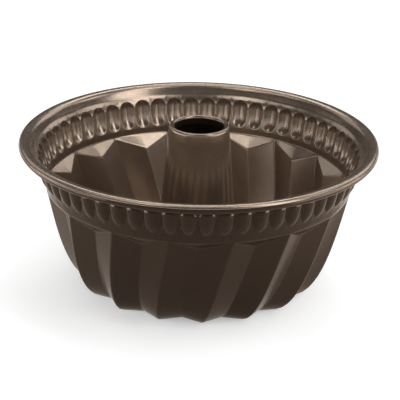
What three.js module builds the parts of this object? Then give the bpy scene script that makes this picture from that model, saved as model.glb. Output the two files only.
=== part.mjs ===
// A ring cake mould of pressed sheet steel: a bowl with twisted pleats, a fluted band under the rolled rim
// and a conical chimney clamped into the floor. It stands on its floor at z = 0, with its axis on Z.

import * as THREE from 'three';

// Sheet and fits, in millimetres
const SHEET = 0.8; // thickness of the pressed sheet
const FIT = 0.3; // clearance between two pieces that touch

// Rim: a wire-stiffened rolled edge, a flat flange, a slope down to a shoulder
const RIM_RADIUS = 125;
const RIM_HEIGHT = 107;
const WIRE_RADIUS = 1.9;
const FLANGE_WIDTH = 7.6; // rim edge to the crest over the bowl
const SLOPE_RUN = 3.3;
const SLOPE_DROP = 6.3;
const SHOULDER_RUN = 3.2;
const SHOULDER_DROP = 3.0;
const ROLL_TURN = 270; // degrees that the edge is rolled round its wire
const ROLL_STEPS = 6;
const RIM_SIDES = 80;
const WIRE_SIDES = 6;

// Fluted band: upright niches that bulge outwards, with rounded ends
const FLUTES = 56;
const FLUTE_DEPTH = 2.5;
const FLUTE_PHASE = 0.2; // degrees, where one rib between two flutes lies
const FLUTE_END = 4.6; // height of the rounded end of a flute
const BAND_HEIGHT = 18.6;
const BAND_TAPER = 4.8;
const FLUTE_POINTS = [0, 0.76, 1, 0.76]; // share of the depth at four points of one flute

// Lip between the flutes and the ledge where the pleats begin
const LIP_RUN = 0.3;
const LIP_HEIGHT = 4.8;
const LEDGE_SIDES_PER_PLEAT = 7;

// Pleated wall, from the ledge to the flat floor
const PLEATS = 16;
const PLEAT_PHASE = 13.2; // degrees, where one outward ridge meets the ledge
const PLEAT_TOP_DEPTH = 6.0; // from ridge to valley at the ledge
const PLEAT_FOOT_DEPTH = 8.5; // from ridge to valley at the floor
const PLEAT_TWIST = 10.5; // degrees that a ridge turns from the ledge to the floor
const EDGE_SHARE = 0.04; // half width of a ridge's or valley's flat, as a share of one pleat
const FACET_DROP = 8.4; // from the ledge to the point of a triangular facet
const RIDGE_START = 0.6; // from the ledge to the top of a ridge
const WALL_TOP_IN = 6.9; // these two set the wall's slope at the ledge
const WALL_TOP_DOWN = 25.7;
const WALL_FOOT_OUT = 22.0; // how far the wall's rounded foot stands out from the floor's edge
const WALL_STEPS = 6;
const FLOOR_RADIUS = 69.4; // flat floor, measured at the ridges

// Raised seat round the floor's hole
const SEAT_WIDTH = 11.5;
const SEAT_SLOPE = 4;
const SEAT_RISE = 3.4;

// Chimney: a cone whose foot clamps the edge of the hole, with a turned-in hem at the top
const CHIMNEY_HEIGHT = 118;
const CHIMNEY_TOP_RADIUS = 20.9;
const CHIMNEY_FOOT_RADIUS = 30.4;
const NECK_STEP = 0.9; // how much narrower than the cone's foot the floor's hole is
const HEM_WIDTH = 2.7;
const HEM_HEIGHT = 6;
const HEM_STEPS = 6;
const BEAD_WIDTH = 3.2; // how far the foot's bead overlaps the floor, from the hole
const BEAD_HEIGHT = 2.2;
const FLANGE_OVERLAP = 4.5; // how far the foot's lower flange overlaps the floor, from the hole
const CHIMNEY_SIDES = 48;

const radians = THREE.MathUtils.degToRad;
const point = (radius, height) => new THREE.Vector2(radius, height);

// A point of the sheet, from its radius, height and angle
function spot(radius, height, angle) {
  return new THREE.Vector3(radius * Math.cos(angle), radius * Math.sin(angle), height);
}

// A round row of such points
function circleRow(profilePoint, sides, phase) {
  const turns = Array.from({ length: sides }, (_, i) => phase + (i * 2 * Math.PI) / sides);
  return turns.map((angle) => spot(profilePoint.x, profilePoint.y, angle));
}

const holeRadius = CHIMNEY_FOOT_RADIUS - NECK_STEP;
const seatRadius = holeRadius + SEAT_WIDTH + SEAT_SLOPE;

// Moves a chain of points sideways by a distance, keeping its corners sharp
function offsetChain(chain, distance) {
  const normals = chain.slice(1).map((end, i) => {
    const along = end.clone().sub(chain[i]).normalize();
    return point(-along.y, along.x);
  });
  return chain.map((corner, i) => {
    const before = normals[Math.max(i - 1, 0)];
    const after = normals[Math.min(i, normals.length - 1)];
    const sum = before.clone().add(after);
    return corner.clone().addScaledVector(sum, distance / (1 + before.dot(after)));
  });
}

// The rim's profile on the side that faces the cake, from the top of the rolled edge down to the ledge
const rollRadius = WIRE_RADIUS + FIT + SHEET;
const rollCentre = point(RIM_RADIUS - rollRadius, RIM_HEIGHT - rollRadius);
const steps = [
  [RIM_RADIUS - FLANGE_WIDTH - rollCentre.x, 0],
  [-SLOPE_RUN, -SLOPE_DROP],
  [-SHOULDER_RUN, -SHOULDER_DROP],
  [-BAND_TAPER, -BAND_HEIGHT],
  [-LIP_RUN, -LIP_HEIGHT],
];
const insideChain = [point(rollCentre.x, RIM_HEIGHT)];
steps.forEach(([run, rise]) => insideChain.push(insideChain.at(-1).clone().add(point(run, rise))));

// The wall's ridge profile, from the ledge to the edge of the flat floor
const ledge = insideChain.at(-1);
const wallCurve = new THREE.CubicBezierCurve(
  ledge,
  point(ledge.x - WALL_TOP_IN, ledge.y - WALL_TOP_DOWN),
  point(FLOOR_RADIUS + WALL_FOOT_OUT, SHEET),
  point(FLOOR_RADIUS, SHEET),
);
const wallLength = wallCurve.getLength();

// A point of the wall, some share of the way down it, sunk towards the axis and moved out of the face
function wallSpot(share, sunk, outwards, angle) {
  const onCurve = wallCurve.getPointAt(share);
  const along = wallCurve.getTangentAt(share);
  onCurve.addScaledVector(point(-along.y, along.x), outwards);
  return spot(onCurve.x - sunk, onCurve.y, angle - radians(PLEAT_TWIST) * share);
}

// One row of the pleated wall: a flat on every ridge and in every valley, straight facets between them
function pleatRow(descent, outwards) {
  const ridgeTop = RIDGE_START / wallLength;
  const valleyTop = FACET_DROP / wallLength;
  const ridgeShare = ridgeTop + (1 - ridgeTop) * descent;
  const valleyShare = valleyTop + (1 - valleyTop) * descent;
  const depth = THREE.MathUtils.lerp(PLEAT_TOP_DEPTH, PLEAT_FOOT_DEPTH, valleyShare);
  const pitch = (2 * Math.PI) / PLEATS;
  const row = [];
  for (let i = 0; i < PLEATS; i += 1) {
    const angle = radians(PLEAT_PHASE) + i * pitch;
    const ridge = wallSpot(ridgeShare, 0, outwards, angle);
    const valleys = [-0.5, 0.5].map((side) => wallSpot(valleyShare, depth, outwards, angle + side * pitch));
    const edge = 2 * EDGE_SHARE;
    row.push(valleys[0].clone().lerp(ridge, edge));
    row.push(ridge.clone().lerp(valleys[0], edge));
    row.push(ridge.clone().lerp(valleys[1], edge));
    row.push(valleys[1].clone().lerp(ridge, edge));
  }
  return row;
}

// One row of the fluted band: the flutes' full depth, or none at the ends of the band
function fluteRow(profilePoint, depth) {
  const sides = FLUTES * FLUTE_POINTS.length;
  return Array.from({ length: sides }, (_, i) => {
    const bulge = depth * FLUTE_POINTS[i % FLUTE_POINTS.length];
    const angle = radians(FLUTE_PHASE) + (i * 2 * Math.PI) / sides;
    return spot(profilePoint.x + bulge, profilePoint.y, angle);
  });
}

// The rows from the floor's hole up to the rim on one face of the sheet
function faceRows(outwards) {
  const chain = offsetChain(insideChain, outwards);
  const [rollTop, crest, slopeFoot, bandTop, bandFoot, ledgeEdge] = chain;
  const floorChain = offsetChain([
    point(FLOOR_RADIUS, SHEET),
    point(seatRadius, SHEET),
    point(seatRadius - SEAT_SLOPE, SHEET + SEAT_RISE),
    point(holeRadius, SHEET + SEAT_RISE),
  ], outwards);
  const ledgeSides = PLEATS * LEDGE_SIDES_PER_PLEAT;
  const wall = Array.from({ length: WALL_STEPS + 1 }, (_, i) => pleatRow(1 - i / WALL_STEPS, outwards));
  const floorSides = wall[0].length;
  const floorPhase = radians(PLEAT_PHASE - PLEAT_TWIST);
  const floor = floorChain.slice(1).reverse().map((corner) => circleRow(corner, floorSides, floorPhase));
  const endShare = FLUTE_END / BAND_HEIGHT;
  const flutes = [
    fluteRow(bandFoot, 0),
    fluteRow(bandFoot.clone().lerp(bandTop, endShare), FLUTE_DEPTH),
    fluteRow(bandTop.clone().lerp(bandFoot, endShare), FLUTE_DEPTH),
    fluteRow(bandTop, 0),
  ];
  const rim = [slopeFoot, crest, rollTop].map((corner) => circleRow(corner, RIM_SIDES, 0));
  return [...floor, ...wall, circleRow(ledgeEdge, ledgeSides, radians(PLEAT_PHASE)), ...flutes, ...rim];
}

// The rolled edge between the two faces: round the wire, and back inside it
function rollRows() {
  const arc = (radius, share) => {
    const angle = Math.PI / 2 - radians(ROLL_TURN) * share;
    return point(rollCentre.x + radius * Math.cos(angle), rollCentre.y + radius * Math.sin(angle));
  };
  const shares = Array.from({ length: ROLL_STEPS }, (_, i) => (i + 1) / ROLL_STEPS);
  const outer = shares.map((share) => arc(rollRadius, share));
  const inner = shares.map((share) => arc(rollRadius - SHEET, share)).reverse();
  return [...outer, ...inner].map((corner) => circleRow(corner, RIM_SIDES, 0));
}

// Joins two rows of unlike counts by always stepping on the row whose next point comes first
function zipRows(lower, upper) {
  const turn = (p, start) => {
    const angle = Math.atan2(p.y, p.x) - start;
    return angle - 2 * Math.PI * Math.floor(angle / (2 * Math.PI));
  };
  const start = Math.atan2(lower[0].y, lower[0].x);
  const turns = upper.map((p) => turn(p, start));
  const first = turns.indexOf(Math.min(...turns));
  const reach = (row, i, offset) => {
    const lap = Math.floor(i / row.length);
    return turn(row[(i + offset) % row.length], start) + lap * 2 * Math.PI;
  };
  const triangles = [];
  let i = 0;
  let j = 0;
  while (i < lower.length || j < upper.length) {
    const a = i % lower.length;
    const b = (j + first) % upper.length;
    const lowerLeft = i < lower.length;
    const upperLeft = j < upper.length;
    if (!upperLeft || (lowerLeft && reach(lower, i + 1, 0) < reach(upper, j + 1, first))) {
      triangles.push([[0, a], [1, b], [0, (a + 1) % lower.length]]);
      i += 1;
    } else {
      triangles.push([[0, a], [1, b], [1, (b + 1) % upper.length]]);
      j += 1;
    }
  }
  return triangles;
}

function joinRows(lower, upper) {
  if (lower.length !== upper.length) {
    return zipRows(lower, upper);
  }
  return lower.flatMap((_, i) => {
    const next = (i + 1) % lower.length;
    return [[[0, i], [1, next], [0, next]], [[0, i], [1, i], [1, next]]];
  });
}

// A closed shell from rows that run round the axis, the last one joined to the first
function shellGeometry(rows) {
  const starts = [];
  let count = 0;
  rows.forEach((row) => {
    starts.push(count);
    count += row.length;
  });
  const index = rows.flatMap((row, i) => {
    const next = (i + 1) % rows.length;
    const base = [starts[i], starts[next]];
    return joinRows(row, rows[next]).flatMap((triangle) => triangle.map(([side, k]) => base[side] + k));
  });
  const geometry = new THREE.BufferGeometry();
  geometry.setFromPoints(rows.flat());
  geometry.setIndex(index);
  geometry.computeVertexNormals();
  return geometry;
}

function bodyGeometry() {
  const insideRows = faceRows(0);
  const outsideRows = faceRows(SHEET);
  return shellGeometry([...insideRows, ...rollRows(), ...outsideRows.reverse()]);
}

// The chimney's profile, from the lower flange up the outside, over the hem and down the inside
function chimneyGeometry() {
  const flangeTop = SEAT_RISE - FIT;
  const flangeFoot = flangeTop - SHEET;
  const beadFoot = SEAT_RISE + SHEET + FIT;
  const beadTop = beadFoot + BEAD_HEIGHT;
  const neck = holeRadius - FIT;
  const hemFoot = CHIMNEY_HEIGHT - HEM_HEIGHT;
  const hemRound = HEM_WIDTH / 2;
  const shoulder = CHIMNEY_HEIGHT - hemRound;
  const lean = (CHIMNEY_FOOT_RADIUS - CHIMNEY_TOP_RADIUS) / (shoulder - beadTop);
  const outsideAt = (height) => CHIMNEY_TOP_RADIUS + lean * (shoulder - height);
  const hemCentre = CHIMNEY_TOP_RADIUS - hemRound;
  const turns = Array.from({ length: HEM_STEPS }, (_, i) => ((i + 1) * Math.PI) / HEM_STEPS);
  const hem = turns.map((turn) => point(
    hemCentre + hemRound * Math.cos(turn),
    shoulder + hemRound * Math.sin(turn),
  ));
  const profile = [
    point(neck - SHEET, flangeFoot),
    point(holeRadius + FLANGE_OVERLAP, flangeFoot),
    point(holeRadius + FLANGE_OVERLAP, flangeTop),
    point(neck, flangeTop),
    point(neck, beadFoot),
    point(holeRadius + BEAD_WIDTH, beadFoot),
    point(holeRadius + BEAD_WIDTH, beadFoot + BEAD_HEIGHT / 2),
    point(outsideAt(beadTop), beadTop),
    point(CHIMNEY_TOP_RADIUS, shoulder),
    ...hem,
    point(CHIMNEY_TOP_RADIUS - HEM_WIDTH, hemFoot),
    point(outsideAt(hemFoot) - SHEET, hemFoot),
    point(outsideAt(beadTop) - SHEET, beadTop),
    point(neck - SHEET, beadFoot),
  ];
  const geometry = new THREE.LatheGeometry([...profile, profile[0].clone()], CHIMNEY_SIDES);
  return geometry.rotateX(Math.PI / 2);
}

function wireGeometry() {
  const geometry = new THREE.TorusGeometry(rollCentre.x, WIRE_RADIUS, WIRE_SIDES, RIM_SIDES);
  return geometry.translate(0, 0, rollCentre.y);
}

function piece(name, geometry, look) {
  const mesh = new THREE.Mesh(geometry, new THREE.MeshStandardMaterial(look));
  mesh.name = name;
  return mesh;
}

const coating = { color: 0x52463c, roughness: 0.42, metalness: 0.75, flatShading: true };
const bareSteel = { color: 0x8a8781, roughness: 0.35, metalness: 1 };

const mould = new THREE.Group();
mould.add(piece('mould_body', bodyGeometry(), coating));
mould.add(piece('chimney', chimneyGeometry(), { ...coating, flatShading: false }));
mould.add(piece('rim_wire', wireGeometry(), bareSteel));

export default mould;
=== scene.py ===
import math

import bpy
import numpy as np
from mathutils import Matrix, Vector


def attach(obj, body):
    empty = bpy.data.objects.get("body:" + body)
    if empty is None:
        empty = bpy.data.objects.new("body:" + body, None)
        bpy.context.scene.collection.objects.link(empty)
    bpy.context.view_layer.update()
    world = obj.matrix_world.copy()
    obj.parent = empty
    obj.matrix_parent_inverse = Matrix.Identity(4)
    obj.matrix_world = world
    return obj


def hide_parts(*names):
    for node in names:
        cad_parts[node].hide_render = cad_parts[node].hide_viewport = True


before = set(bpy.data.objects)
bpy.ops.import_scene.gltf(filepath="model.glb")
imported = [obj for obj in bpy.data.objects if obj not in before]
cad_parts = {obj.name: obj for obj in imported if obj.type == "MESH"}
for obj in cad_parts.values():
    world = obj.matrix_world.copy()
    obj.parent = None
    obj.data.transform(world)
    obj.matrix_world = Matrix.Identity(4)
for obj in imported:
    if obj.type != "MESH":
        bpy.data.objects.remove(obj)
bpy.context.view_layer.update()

# Sizes of the mould in millimetres and degrees. Meshes are scaled to metres when they are made.
MM = 0.001
SHEET = 0.8
FIT = 0.3

# Rim. Slope, shoulder, band and lip are steps of the profile: how far in, and how far down.
RIM_RADIUS = 125.0
RIM_HEIGHT = 107.0
WIRE_RADIUS = 1.9
FLANGE_WIDTH = 7.6
SLOPE = (3.3, 6.3)
SHOULDER = (3.2, 3.0)
CREST_ROUNDING = 3.6
SHOULDER_ROUNDING = 1.2
ROLL_TURN = 270.0

# Fluted band. A niche's width is a share of its flute's.
FLUTES = 56
FLUTE_DEPTH = 3.1
FLUTE_PHASE = 0.2
BAND = (4.8, 18.6)
BAND_TOP_ROUNDING = 2.4
BAND_FOOT_ROUNDING = 0.6
NICHE_WIDTH = 0.94
NICHE_RISE = 1.0
NICHE_TOP_CAP = 4.8
NICHE_FOOT_CAP = 11.0
NICHE_FOOT_SHAPE = 3.0
BELOW_NICHES = 1.7

# Lip and pleated wall
LIP = (0.3, 4.8)
PLEATS = 16
PLEAT_PHASE = 13.2
PLEAT_TOP_DEPTH = 6.0
PLEAT_FOOT_DEPTH = 8.5
PLEAT_TWIST = 10.5
FACET_DROP = 8.4
RIDGE_START = 0.6
WALL_TOP = (6.9, 25.7)
WALL_FOOT_OUT = 22.0
FLOOR_RADIUS = 69.4

# Raised seat round the floor's hole
SEAT_WIDTH = 11.5
SEAT_SLOPE = 4.0
SEAT_RISE = 3.4
SEAT_ROUNDING = 1.6
SEAT_MARGIN = 3.0

# Chimney
CHIMNEY_HEIGHT = 118.0
CHIMNEY_TOP_RADIUS = 20.9
CHIMNEY_FOOT_RADIUS = 30.4
NECK_STEP = 0.9
HEM_WIDTH = 3.6
HEM_HEIGHT = 6.0
BEAD_WIDTH = 3.2
BEAD_HEIGHT = 2.2
BEAD_CROWN = 0.4
BEAD_ROUNDING = (0.7, 1.4)
FLANGE_OVERLAP = 4.5
CONE_MARGINS = (1.2, 1.0)
SHARP_ANGLE = 38

# Rows of the meshes: how many there are, or the share of the way between two edges at which each one lies
RIM_CORNER_STEPS = 6
BAND_CORNER_STEPS = 9
SHOULDER_ROWS = (0.35, 0.7, 0.92)
NICHE_ROWS = 15
NICHE_CROWDING = 0.55
NICHE_FOOT_ROWS = (0.3, 0.62, 0.9)
LIP_ROWS = (0.45, 0.8)
FACET_ROWS = (0, 0.1, 0.25, 0.5, 0.75, 0.9)
PLEAT_TOP_ROWS = (0, 0.012, 0.035, 0.07)
PLEAT_ROWS = np.linspace(0.13, 1, 15)
FLOOR_ROWS = (0.05, 0.25, 0.6)
SEAT_CORNER_STEPS = 4
ROLL_STEPS = 12
# The roll's upper rows that keep the inside's coat; the rest of the roll has the darkened coat, painted
# shade
SHOWN_ROLL_ROWS = 3
WALL_CURVE_POINTS = 401
WIRE_SIDES = 12
BEAD_CORNER_STEPS = 5
CONE_ROWS = 9
HEM_POINTS = 13
CHIMNEY_FLANGE_ROWS = 4
CHIMNEY_INNER_ROWS = 5

# Columns of the meshes. A flute's lie from -1, at the rib before its niche, to 1, at the rib after it.
FLUTE_COLUMNS = (-1.0, -0.94, -0.80, -0.56, -0.28, 0.0, 0.28, 0.56, 0.80, 0.94)
EDGE_CROWDING = 0.62
CHIMNEY_COLUMNS = 160

# How often points or directions are averaged with their neighbours, and which rows that leaves or takes in
EDGE_PASSES = 2
NORMAL_PASSES = 4
OUTSIDE_PASSES = 1
KEPT_TOP_ROWS = 4
KEPT_FOOT_ROWS = 7
GROOVE_PASSES = 2
LEDGE_PASSES = 2
ROWS_ABOVE_LIP = 4
ROWS_BELOW_LIP = 8

# Values that follow from the others
FULL_TURN = 2 * math.pi
COLUMNS = FLUTES * len(FLUTE_COLUMNS)
HOLE_RADIUS = CHIMNEY_FOOT_RADIUS - NECK_STEP
ROLL_RADIUS = WIRE_RADIUS + FIT + SHEET
ROLL_CENTRE = (RIM_RADIUS - ROLL_RADIUS, RIM_HEIGHT - ROLL_RADIUS)


def mix(a, b, share):
    return a + (b - a) * share


def rounded(chain, reaches, steps):
    """A chain of (radius, height) points with each inner corner turned into a curve of the given reach."""
    chain = [np.array(p, float) for p in chain]
    points = [chain[0]]
    for before, corner, after, reach in zip(chain, chain[1:], chain[2:], reaches):
        start = corner + (before - corner) * reach / np.linalg.norm(before - corner)
        end = corner + (after - corner) * reach / np.linalg.norm(after - corner)
        for t in np.linspace(0, 1, steps):
            points.append(mix(mix(start, corner, t), mix(corner, end, t), t))
    points.append(chain[-1])
    return np.array(points)


def ring(radius, height, angles):
    """A row of points round the axis. Radius and height are numbers, or one value per column."""
    radius = np.broadcast_to(radius, angles.shape)
    height = np.broadcast_to(height, angles.shape)
    return np.stack([radius * np.cos(angles), radius * np.sin(angles), height], axis=-1)


def make_piece(name, rows, materials, looks=None):
    """A closed mesh from rows of points that run round the axis, with the last row joined to the first.
    looks gives the material's place in the list for the faces after each row."""
    rows = np.asarray(rows)
    count, columns = rows.shape[:2]
    index = np.arange(count * columns).reshape(count, columns)
    right = np.roll(index, -1, axis=1)
    faces = np.stack([index, right, np.roll(right, -1, axis=0), np.roll(index, -1, axis=0)], axis=-1)
    mesh = bpy.data.meshes.new(name)
    mesh.from_pydata(rows.reshape(-1, 3) * MM, [], faces.reshape(-1, 4).tolist())
    for material in materials:
        mesh.materials.append(material)
    if looks is not None:
        mesh.polygons.foreach_set("material_index", np.repeat(np.array(looks, np.int32), columns))
    mesh.polygons.foreach_set("use_smooth", np.ones(len(mesh.polygons), bool))
    mesh.update()
    piece = bpy.data.objects.new(name, mesh)
    bpy.context.scene.collection.objects.link(piece)
    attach(piece, "root")
    return piece


# The columns of the body. Those of the flutes crowd at the ribs, those of the pleats at ridges and valleys.

def flute_columns():
    """The columns' angles in the fluted band, and how far each lies from its niche's middle."""
    across = np.tile(FLUTE_COLUMNS, FLUTES)
    flute = np.repeat(np.arange(FLUTES), len(FLUTE_COLUMNS))
    pitch = FULL_TURN / FLUTES
    return math.radians(FLUTE_PHASE) + (flute + 0.5 + across / 2) * pitch, across


def pleat_columns():
    """For each column of the pleated wall: its ridge, its valley, and its share of the way between them."""
    per_pleat = COLUMNS // PLEATS
    down = per_pleat // 2
    up = per_pleat - down
    x = np.concatenate([np.arange(down) / down, 1 + np.arange(up) / up])
    share = x - EDGE_CROWDING * np.sin(FULL_TURN * x) / FULL_TURN
    pleat = np.repeat(np.arange(PLEATS), per_pleat)
    share = np.tile(share, PLEATS)
    ridge = pleat + (share > 1)
    towards_valley = np.where(share > 1, 2 - share, share)
    start = round(math.radians(PLEAT_PHASE - FLUTE_PHASE) / FULL_TURN * COLUMNS)
    columns = np.stack([ridge, pleat + 0.5, towards_valley])
    return np.roll(columns, start, axis=1)


def pleat_angles():
    """The columns' angles at the top of the pleated wall, on the same turn as the flutes' angles."""
    places = mix(RIDGE, VALLEY, TOWARDS_VALLEY)
    angles = np.unwrap(math.radians(PLEAT_PHASE) + places * FULL_TURN / PLEATS)
    return angles - FULL_TURN * round((angles - FLUTE_ANGLES).mean() / FULL_TURN)


FLUTE_ANGLES, ACROSS_FLUTE = flute_columns()
RIDGE, VALLEY, TOWARDS_VALLEY = pleat_columns()
PLEAT_ANGLES = pleat_angles()


# The body's face towards the cake, from the top of the rolled edge to the hole in the floor

def steps_down(start, *steps):
    """A chain of points that starts at one point and goes in and down by each step."""
    chain = [np.array(start, float)]
    for run, drop in steps:
        chain.append(chain[-1] - (run, drop))
    return chain


def rim_and_band():
    """The profile's corners: rim top, crest, foot of the slope, top and foot of the band, and ledge."""
    flange = (ROLL_CENTRE[0] - RIM_RADIUS + FLANGE_WIDTH, 0)
    return steps_down((ROLL_CENTRE[0], RIM_HEIGHT), flange, SLOPE, SHOULDER, BAND, LIP)


def rim_rows():
    corners = rim_and_band()[:4]
    curve = rounded(corners, [CREST_ROUNDING, SHOULDER_ROUNDING], RIM_CORNER_STEPS)
    return [ring(radius, height, FLUTE_ANGLES) for radius, height in curve[:-1]]


def profile_radius(heights):
    """The radius of the shoulder and band, without niches, at some heights."""
    corners = rim_and_band()[2:]
    curve = rounded(corners, [BAND_TOP_ROUNDING, BAND_FOOT_ROUNDING], BAND_CORNER_STEPS)
    return np.interp(heights, curve[::-1, 1], curve[::-1, 0])


def band_rows():
    """Rows of the fluted band. They bend round the ends of the niches, so each end has a clean edge."""
    band_top, band_foot = rim_and_band()[3:5]
    start = rim_rows()[-1][0, 2]
    beside = np.clip(np.abs(ACROSS_FLUTE) / NICHE_WIDTH, 0, 1)
    top_centre = band_top[1] + NICHE_RISE - NICHE_TOP_CAP
    foot_centre = band_foot[1] + NICHE_FOOT_CAP
    top = top_centre + NICHE_TOP_CAP * np.sqrt(1 - beside ** 2)
    foot = foot_centre - NICHE_FOOT_CAP * (1 - beside ** 2) ** (1 / NICHE_FOOT_SHAPE)
    rows = []
    for share in SHOULDER_ROWS:
        heights = mix(start, top, share)
        rows.append(ring(profile_radius(heights), heights, FLUTE_ANGLES))
    for x in np.linspace(0, 1, NICHE_ROWS):
        share = x - NICHE_CROWDING * math.sin(FULL_TURN * x) / FULL_TURN
        heights = mix(top, foot, share)
        above = np.clip((heights - top_centre) / NICHE_TOP_CAP, 0, 1)
        below = np.clip((foot_centre - heights) / NICHE_FOOT_CAP, 0, 1)
        hollow = np.clip(1 - beside ** 2 - above ** 2 - below ** NICHE_FOOT_SHAPE, 0, 1)
        rows.append(ring(profile_radius(heights) + FLUTE_DEPTH * hollow, heights, FLUTE_ANGLES))
    for share in NICHE_FOOT_ROWS:
        heights = mix(foot, band_foot[1] - BELOW_NICHES, share)
        rows.append(ring(profile_radius(heights), heights, FLUTE_ANGLES))
    return rows


def lip_rows():
    """Rows from the niches to the ledge. Their columns turn from the flutes' places to the pleats'."""
    foot, ledge = rim_and_band()[4:]
    rows = []
    for share in LIP_ROWS:
        radius, height = mix(foot, ledge, share)
        rows.append(ring(radius, height, mix(FLUTE_ANGLES, PLEAT_ANGLES, share)))
    return rows


def wall_curve():
    """Points and lengths along the ridge's profile, from the ledge to the edge of the flat floor."""
    ledge = rim_and_band()[-1]
    foot = np.array((FLOOR_RADIUS, SHEET))
    a = ledge - WALL_TOP
    b = foot + (WALL_FOOT_OUT, 0)
    t = np.linspace(0, 1, WALL_CURVE_POINTS)[:, None]
    points = ledge * (1 - t) ** 3 + 3 * a * t * (1 - t) ** 2 + 3 * b * t ** 2 * (1 - t) + foot * t ** 3
    lengths = np.concatenate([[0], np.cumsum(np.linalg.norm(np.diff(points, axis=0), axis=1))])
    return points, lengths


def on_wall(share, sunk, turn):
    """A row at a share of the ridge's profile, sunk towards the axis and turned by some pleats."""
    points, lengths = wall_curve()
    radius = np.interp(share * lengths[-1], lengths, points[:, 0]) - sunk
    height = np.interp(share * lengths[-1], lengths, points[:, 1])
    angle = math.radians(PLEAT_PHASE - PLEAT_TWIST * share) + turn * FULL_TURN / PLEATS
    return ring(radius, height, angle)


def pleat_row(descent):
    """A row of the pleats, from 0 at the foot of the facets to 1 at the floor."""
    length = wall_curve()[1][-1]
    ridge_share = mix(RIDGE_START / length, 1, descent)
    valley_share = mix(FACET_DROP / length, 1, descent)
    depth = mix(PLEAT_TOP_DEPTH, PLEAT_FOOT_DEPTH, valley_share)
    ridges = on_wall(ridge_share, 0, RIDGE)
    valleys = on_wall(valley_share, depth, VALLEY)
    return mix(ridges, valleys, TOWARDS_VALLEY[:, None])


def wall_rows():
    """The ledge, the triangular facets below it, and the pleats down to the floor."""
    ledge_row = ring(*rim_and_band()[-1], PLEAT_ANGLES)
    top = pleat_row(0)
    facets = [mix(ledge_row, top, share) for share in FACET_ROWS]
    return facets + [pleat_row(descent) for descent in (*PLEAT_TOP_ROWS, *PLEAT_ROWS)]


def floor_rows():
    """The flat floor, and the raised seat round its hole."""
    edge = pleat_row(1)
    seat_foot = HOLE_RADIUS + SEAT_WIDTH + SEAT_SLOPE
    seat_top = SHEET + SEAT_RISE
    chain = [
        (seat_foot + SEAT_MARGIN, SHEET),
        (seat_foot, SHEET),
        (seat_foot - SEAT_SLOPE, seat_top),
        (HOLE_RADIUS, seat_top),
    ]
    curve = rounded(chain, [SEAT_ROUNDING, SEAT_ROUNDING], SEAT_CORNER_STEPS)
    angles = PLEAT_ANGLES - math.radians(PLEAT_TWIST)
    circles = [ring(radius, height, angles) for radius, height in curve]
    return [mix(edge, circles[0], share) for share in FLOOR_ROWS] + circles


def soften_columns(rows, passes):
    """Averages each point with its neighbours in the row."""
    for _ in range(passes):
        rows = (np.roll(rows, 1, axis=1) + 2 * rows + np.roll(rows, -1, axis=1)) / 4
    return rows


def soften_rows(rows, passes=1):
    """Averages each point with its neighbours along the profile. The first and the last row stay."""
    for _ in range(passes):
        middle = (rows[:-2] + 2 * rows[1:-1] + rows[2:]) / 4
        rows = np.concatenate([rows[:1], middle, rows[-1:]])
    return rows


def inside_rows():
    upper = np.array(rim_rows() + band_rows() + lip_rows())
    lower = soften_columns(np.array(wall_rows() + floor_rows()), EDGE_PASSES)
    return np.concatenate([upper, lower])


def unit(vectors):
    return vectors / np.linalg.norm(vectors, axis=-1, keepdims=True)


def normals(rows):
    """The direction out of the sheet, towards the cake, at each point of a grid of rows."""
    along = np.gradient(rows, axis=0)
    round_axis = np.roll(rows, -1, axis=1) - np.roll(rows, 1, axis=1)
    return unit(np.cross(round_axis, along))


def outside_rows(inside):
    """The sheet's other face. Its directions and then its points are evened out, so that it doesn't fold
    where the sheet turns sharply."""
    out = normals(inside)
    for _ in range(NORMAL_PASSES):
        out = unit(soften_rows(soften_columns(out, 1)))
    rows = inside - SHEET * out
    between = slice(KEPT_TOP_ROWS - 1, 1 - KEPT_FOOT_ROWS)
    rows[between] = soften_rows(rows[between], OUTSIDE_PASSES)
    lip = len(rim_rows()) + len(band_rows())
    rows[:lip] = soften_columns(rows[:lip], GROOVE_PASSES)
    beside_lip = slice(lip - ROWS_ABOVE_LIP, lip + ROWS_BELOW_LIP)
    rows[beside_lip] = soften_rows(rows[beside_lip], LEDGE_PASSES)
    return rows


def roll_rows():
    """The rolled edge on both faces of the sheet: round inside to the sheet's end, and back outside."""
    turns = np.linspace(0, 1, ROLL_STEPS + 1)[1:]

    def at(radius, turn):
        angle = math.pi / 2 - math.radians(ROLL_TURN) * turn
        height = ROLL_CENTRE[1] + radius * math.sin(angle)
        return ring(ROLL_CENTRE[0] + radius * math.cos(angle), height, FLUTE_ANGLES)

    inner = [at(ROLL_RADIUS - SHEET, turn) for turn in turns]
    outer = [at(ROLL_RADIUS, turn) for turn in turns[::-1]]
    return inner + outer


def make_body(inside_look, shaded_outside_look):
    """The pressed shell. The inside's coat runs over the rim's top, round to the upper part of the roll."""
    inside = inside_rows()
    outside = outside_rows(inside)
    rows = np.concatenate([inside, outside[::-1], roll_rows()])
    # The outside and the roll's lower rows take the darkened coat, painted shade; the roll's upper rows
    # keep the inside's coat
    outside_count = len(rows) - len(inside) - SHOWN_ROLL_ROWS
    looks = [0] * len(inside) + [1] * outside_count + [0] * SHOWN_ROLL_ROWS
    body = make_piece("pressed_body", rows, [inside_look, shaded_outside_look], looks)
    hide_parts("mould_body")


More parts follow.
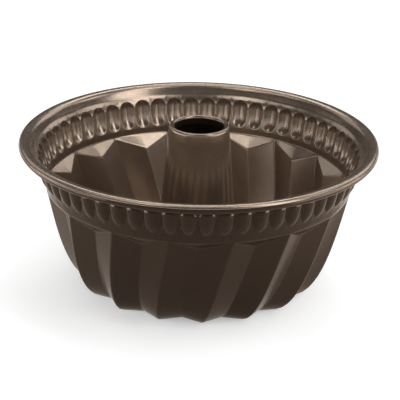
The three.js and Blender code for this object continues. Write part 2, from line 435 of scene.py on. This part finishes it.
def make_chimney(look, shaded_inner_look):
    """A cone turned round the axis: lower flange, neck, bead, cone, turned-in hem and the inner face."""
    neck = HOLE_RADIUS - FIT
    flange_top = SEAT_RISE - FIT
    flange_edge = HOLE_RADIUS + FLANGE_OVERLAP
    bead_foot = SEAT_RISE + SHEET + FIT
    bead_top = bead_foot + BEAD_HEIGHT
    bead_edge = HOLE_RADIUS + BEAD_WIDTH
    hem_radius = HEM_WIDTH / 2
    hem_middle = CHIMNEY_TOP_RADIUS - hem_radius
    hem_foot = CHIMNEY_HEIGHT - HEM_HEIGHT
    shoulder = CHIMNEY_HEIGHT - hem_radius
    lean = (CHIMNEY_FOOT_RADIUS - CHIMNEY_TOP_RADIUS) / (shoulder - bead_top)

    def outside(height):
        return CHIMNEY_TOP_RADIUS + lean * (shoulder - height)

    bead = [
        (neck, bead_foot),
        (bead_edge, bead_foot),
        (bead_edge, bead_top),
        (outside(bead_top), bead_top + BEAD_CROWN),
    ]
    cone_heights = np.linspace(bead_top + CONE_MARGINS[0], shoulder - CONE_MARGINS[1], CONE_ROWS)
    hem = []
    for turn in np.linspace(0, math.pi, HEM_POINTS):
        hem.append((hem_middle + hem_radius * math.cos(turn), shoulder + hem_radius * math.sin(turn)))
    profile = [
        (neck - SHEET, flange_top - SHEET),
        (flange_edge, flange_top - SHEET),
        (flange_edge, flange_top),
        (neck, flange_top),
        *rounded(bead, BEAD_ROUNDING, BEAD_CORNER_STEPS),
        *[(outside(height), height) for height in cone_heights],
        *hem,
        (CHIMNEY_TOP_RADIUS - HEM_WIDTH, hem_foot),
        (outside(hem_foot) - SHEET, hem_foot),
        (outside(bead_top) - SHEET, bead_top),
        (neck - SHEET, bead_foot),
    ]
    angles = np.linspace(0, FULL_TURN, CHIMNEY_COLUMNS, endpoint=False)
    rows = [ring(radius, height, angles) for radius, height in profile]
    # The lower flange and the bore take the darkened outside coat, painted shade; the rest has the
    # chimney's coat
    shown_count = len(rows) - CHIMNEY_FLANGE_ROWS - CHIMNEY_INNER_ROWS
    looks = [1] * CHIMNEY_FLANGE_ROWS + [0] * shown_count + [1] * CHIMNEY_INNER_ROWS
    chimney = make_piece("chimney_cone", rows, [look, shaded_inner_look], looks)
    chimney.data.set_sharp_from_angle(angle=math.radians(SHARP_ANGLE))
    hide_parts("chimney")


def make_wire(look):
    """The wire that the edge is rolled round."""
    angles = np.linspace(0, FULL_TURN, COLUMNS // 2, endpoint=False)
    rows = []
    for turn in np.linspace(0, FULL_TURN, WIRE_SIDES, endpoint=False):
        radius = ROLL_CENTRE[0] + WIRE_RADIUS * math.cos(turn)
        rows.append(ring(radius, ROLL_CENTRE[1] + WIRE_RADIUS * math.sin(turn), angles))
    wire = make_piece("edge_wire", rows, [look])
    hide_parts("rim_wire")


# Materials. Colours are linear, a noise is its scale per metre and its detail, and a coat's edge tints what
# it mirrors at a low angle. The outside's coat is the inside's bronze made about ten times darker. This is
# painted shade, standing for the shade on the pan's outside. It also mirrors less than the inside, and in a
# warmer tone.
COATS = {
    "inside_coat": {
        "dark": (0.262, 0.197, 0.147),
        "light": (0.332, 0.253, 0.192),
        "metallic": 0.78,
        "roughness": (0.22, 0.27),
        "ior": 2.2,
        "edge": (1, 1, 1),
    },
    # Painted shade: the same bronze as the inside's, darkened to stand for the shade on the pan's outside
    "shaded_outside_coat": {
        "dark": (0.0262, 0.0165, 0.011),
        "light": (0.0352, 0.0227, 0.0152),
        "metallic": 0.45,
        "roughness": (0.15, 0.20),
        "ior": 1.2,
        "edge": (0.8, 0.68, 0.58),
    },
    "chimney_coat": {
        "dark": (0.228, 0.169, 0.124),
        "light": (0.264, 0.197, 0.147),
        "metallic": 0.75,
        "roughness": (0.18, 0.23),
        "ior": 2.2,
        "edge": (1, 1, 1),
    },
}
GRAIN = (1500, 3)
GRAIN_RANGE = (0.34, 0.66)
GRAIN_STRENGTH = 0.02
GRAIN_HEIGHT = 0.00006
PATCHES = (130, 4)
NOISE_RANGE = (0.3, 0.7)
STEEL_STREAKS = (900, 2)
STEEL_COLOURS = ((0.24, 0.23, 0.22), (0.36, 0.35, 0.33))
STEEL_ROUGHNESS = (0.3, 0.42)
FLOOR_CLOUDS = (6, 2)
FLOOR_COLOURS = ((0.80, 0.80, 0.80), (0.83, 0.83, 0.83))
FLOOR_ROUGHNESS = 0.9
FLOOR_SHINE = 0.1
FLOOR_GLOW = 0.38


def new_material(name):
    material = bpy.data.materials.new(name)
    material.use_nodes = True
    return material, material.node_tree.nodes, material.node_tree.links


def noise(nodes, links, scale, detail):
    place = nodes.new("ShaderNodeTexCoord")
    texture = nodes.new("ShaderNodeTexNoise")
    texture.inputs["Scale"].default_value = scale
    texture.inputs["Detail"].default_value = detail
    links.new(place.outputs["Object"], texture.inputs["Vector"])
    return texture.outputs["Fac"]


def to_colour(nodes, links, value, value_range, colours):
    """Turns a value into a colour, from the first colour at the range's start to the second at its end."""
    node = nodes.new("ShaderNodeValToRGB")
    for element, place, colour in zip(node.color_ramp.elements, value_range, colours):
        element.position = place
        element.color = (*colour, 1)
    links.new(value, node.inputs["Fac"])
    return node.outputs["Color"]


def to_range(nodes, links, value, low, high):
    """Spreads a noise value over a range."""
    node = nodes.new("ShaderNodeMapRange")
    node.inputs["From Min"].default_value = NOISE_RANGE[0]
    node.inputs["From Max"].default_value = NOISE_RANGE[1]
    node.inputs["To Min"].default_value = low
    node.inputs["To Max"].default_value = high
    links.new(value, node.inputs["Value"])
    return node.outputs["Result"]


def coating(name, dark, light, metallic, roughness, ior, edge):
    """A satin baked-on coating: brown with metallic flakes and a fine grain, smoother in some patches."""
    material, nodes, links = new_material(name)
    shader = nodes["Principled BSDF"]
    grain = noise(nodes, links, *GRAIN)
    colour = to_colour(nodes, links, grain, GRAIN_RANGE, (dark, light))
    links.new(colour, shader.inputs["Base Color"])
    patches = noise(nodes, links, *PATCHES)
    links.new(to_range(nodes, links, patches, *roughness), shader.inputs["Roughness"])
    bump = nodes.new("ShaderNodeBump")
    bump.inputs["Strength"].default_value = GRAIN_STRENGTH
    bump.inputs["Distance"].default_value = GRAIN_HEIGHT
    links.new(grain, bump.inputs["Height"])
    links.new(bump.outputs["Normal"], shader.inputs["Normal"])
    shader.inputs["Metallic"].default_value = metallic
    shader.inputs["IOR"].default_value = ior
    shader.inputs["Specular Tint"].default_value = (*edge, 1)
    return material


def drawn_steel(name):
    material, nodes, links = new_material(name)
    shader = nodes["Principled BSDF"]
    streaks = noise(nodes, links, *STEEL_STREAKS)
    colour = to_colour(nodes, links, streaks, NOISE_RANGE, STEEL_COLOURS)
    links.new(colour, shader.inputs["Base Color"])
    links.new(to_range(nodes, links, streaks, *STEEL_ROUGHNESS), shader.inputs["Roughness"])
    shader.inputs["Metallic"].default_value = 1.0
    return material


def either(nodes, links, first, second):
    node = nodes.new("ShaderNodeMath")
    node.operation = "MAXIMUM"
    links.new(first, node.inputs[0])
    links.new(second, node.inputs[1])
    return node.outputs[0]


def floor_material(name):
    """A pale matt floor. It takes shadows, and glows a little where it is seen or mirrored."""
    material, nodes, links = new_material(name)
    shader = nodes["Principled BSDF"]
    clouds = noise(nodes, links, *FLOOR_CLOUDS)
    colour = to_colour(nodes, links, clouds, NOISE_RANGE, FLOOR_COLOURS)
    links.new(colour, shader.inputs["Base Color"])
    shader.inputs["Roughness"].default_value = FLOOR_ROUGHNESS
    shader.inputs["Specular IOR Level"].default_value = FLOOR_SHINE
    rays = nodes.new("ShaderNodeLightPath").outputs
    mirrored = either(nodes, links, rays["Is Glossy Ray"], rays["Is Transmission Ray"])
    seen = either(nodes, links, rays["Is Camera Ray"], mirrored)
    glow = nodes.new("ShaderNodeMath")
    glow.operation = "MULTIPLY"
    glow.inputs[1].default_value = FLOOR_GLOW
    links.new(seen, glow.inputs[0])
    links.new(glow.outputs[0], shader.inputs["Emission Strength"])
    shader.inputs["Emission Color"].default_value = (1, 1, 1, 1)
    return material


# Stage, in metres and degrees. A lamp is its direction as seen from the mould, round from +X and up, then
# its distance, width and height, and how bright its face looks. The key, high and middle lamps show in the
# facets, the flange and the flutes, the top and back ones in the rim, and the front ones in the wall behind
# the chimney. The side ones and the strips show in the outside's pleats.
LAMPS = {
    "key_high": (337, 62, 2.4, 0.7, 0.95, 4.0),
    "key_low": (328, 38, 2.4, 0.95, 0.95, 3.7),
    "right_high": (13, 46, 2.4, 0.66, 0.66, 2.6),
    "left_high": (214, 66, 2.4, 0.66, 0.66, 3.3),
    "left_middle": (168, 60, 2.4, 0.66, 0.66, 1.8),
    "top": (90, 76, 2.4, 1.4, 1.2, 1.5),
    "back": (90, 46, 2.4, 1.6, 0.5, 4.5),
    "front": (270, 22, 2.4, 1.9, 1.0, 0.8),
    "front_right": (318, 18, 2.4, 1.9, 0.9, 1.2),
    "front_left": (222, 18, 2.4, 1.9, 0.9, 1.6),
    "right_side": (5, 9, 2.4, 1.7, 0.6, 1.8),
    "left_side": (175, 9, 2.4, 1.7, 0.6, 1.8),
    "back_right": (50, 32, 2.4, 1.2, 1.2, 1.6),
    "back_left": (130, 32, 2.4, 1.2, 1.2, 0.8),
}
STRIPS = {
    "right_strip": (352, -4, 0.42, 0.5, 0.1, 6.0),
    "left_strip": (188, -4, 0.42, 0.5, 0.1, 6.0),
}
LAMP_SPREAD = 180
STRIP_SPREAD = 120
LAMPS_AIM = Vector((0, 0, 0.08))
WORLD_LEVEL = 0.05
FLOOR_REACH = 6.0
FLOOR_HEIGHT = -0.0002


def make_floor():
    reach = FLOOR_REACH
    corners = [(-reach, -reach, 0), (reach, -reach, 0), (reach, reach, 0), (-reach, reach, 0)]
    mesh = bpy.data.meshes.new("floor")
    mesh.from_pydata(corners, [], [(0, 1, 2, 3)])
    mesh.materials.append(floor_material("pale_floor"))
    floor = bpy.data.objects.new("floor", mesh)
    floor.location.z = FLOOR_HEIGHT
    bpy.context.scene.collection.objects.link(floor)


def make_lamp(name, azimuth, elevation, distance, width, height, brightness, spread):
    turn = math.radians(azimuth)
    rise = math.radians(elevation)
    towards = Vector((math.cos(rise) * math.cos(turn), math.cos(rise) * math.sin(turn), math.sin(rise)))
    lamp = bpy.data.lights.new(name, "AREA")
    lamp.shape = "RECTANGLE"
    lamp.size = width
    lamp.size_y = height
    lamp.energy = brightness * math.pi * width * height
    lamp.spread = math.radians(spread)
    box = bpy.data.objects.new(name, lamp)
    box.location = LAMPS_AIM + towards * distance
    box.rotation_euler = towards.to_track_quat("Z", "Y").to_euler()
    bpy.context.scene.collection.objects.link(box)


def make_world():
    world = bpy.data.worlds.new("studio")
    world.use_nodes = True
    background = world.node_tree.nodes["Background"]
    background.inputs["Color"].default_value = (1, 1, 1, 1)
    background.inputs["Strength"].default_value = WORLD_LEVEL
    bpy.context.scene.world = world


# Camera: the photograph's, found from the rim, the ledge and the outline
TARGET = Vector((0, 0, 0.104))
DISTANCE = 1.5
ELEVATION = math.radians(20.5)
ROLL = math.radians(1.2)
FOCAL_PIXELS = 2158.5
FRAME_PIXELS = 400
TARGET_PIXEL = (198.88, 143.3)
SENSOR_WIDTH = 36
VIEW_END = 20


def make_camera():
    data = bpy.data.cameras.new("camera")
    data.sensor_width = SENSOR_WIDTH
    data.lens = FOCAL_PIXELS / FRAME_PIXELS * SENSOR_WIDTH
    data.clip_end = VIEW_END
    camera = bpy.data.objects.new("camera", data)
    back = Vector((0, -math.cos(ELEVATION), math.sin(ELEVATION)))
    aim = back.to_track_quat("Z", "Y").to_matrix()
    middle = FRAME_PIXELS / 2
    off = Vector((TARGET_PIXEL[0] - middle, middle - TARGET_PIXEL[1], -FOCAL_PIXELS))
    swing = off.rotation_difference(Vector((0, 0, -1))).to_matrix()
    turn = Matrix.Rotation(ROLL, 3, "Z")
    camera.matrix_world = Matrix.Translation(TARGET + back * DISTANCE) @ (aim @ turn @ swing).to_4x4()
    bpy.context.scene.collection.objects.link(camera)
    bpy.context.scene.camera = camera


coats = {name: coating(name, **values) for name, values in COATS.items()}
make_body(coats["inside_coat"], coats["shaded_outside_coat"])
make_chimney(coats["chimney_coat"], coats["shaded_outside_coat"])
make_wire(drawn_steel("drawn_steel"))
make_floor()
for lamp_name, lamp_values in LAMPS.items():
    make_lamp(lamp_name, *lamp_values, LAMP_SPREAD)
for strip_name, strip_values in STRIPS.items():
    make_lamp(strip_name, *strip_values, STRIP_SPREAD)
make_world()
make_camera()
bpy.context.scene.view_settings.view_transform = "Standard"
